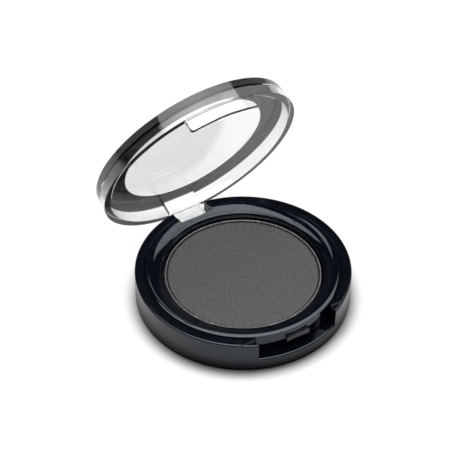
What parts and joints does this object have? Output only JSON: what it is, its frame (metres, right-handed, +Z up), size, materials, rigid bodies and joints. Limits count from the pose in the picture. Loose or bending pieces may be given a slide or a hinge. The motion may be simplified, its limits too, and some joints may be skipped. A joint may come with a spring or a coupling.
{
  "type": "mono eyeshadow compact",
  "caption": "Round black eyeshadow compact with a clear hinged lid standing open, a raised collar around a pan of pressed grey powder, and a finger notch at the front.",
  "frame": {"origin": "centre of the flat underside, on the surface that the compact rests on", "axes": "+Z up, -Y towards the finger notch at the front, +X to the right, hinge axis along X at the back"},
  "size_m": [0.05, 0.0568, 0.0509],
  "materials": {
    "black_plastic": "polished black moulding",
    "frame_plastic": "polished black moulding",
    "clear_plastic": "clear and polished",
    "steel": "plain drawn wire",
    "aluminium": "plain pressed sheet",
    "grey_powder": "matt pressed powder",
    "glue": "soft glue pad",
    "label_paper": "blank matt label"
  },
  "bodies": {
    "base": {"base_case": "black_plastic", "pan_frame": "frame_plastic", "hinge_pin": "steel", "eyeshadow_pan": "aluminium", "pressed_powder": "grey_powder", "pan_adhesive": "glue", "base_label": "label_paper"},
    "lid": {"clear_lid": "clear_plastic"}
  },
  "joints": [
    {"name": "lid_hinge", "type": "hinge", "parent": "base", "child": "lid", "pos_m": [0, 0.02285, 0.00354], "axis": [-1, 0, 0], "range_deg": [-68.5, 31.5]}
  ]
}
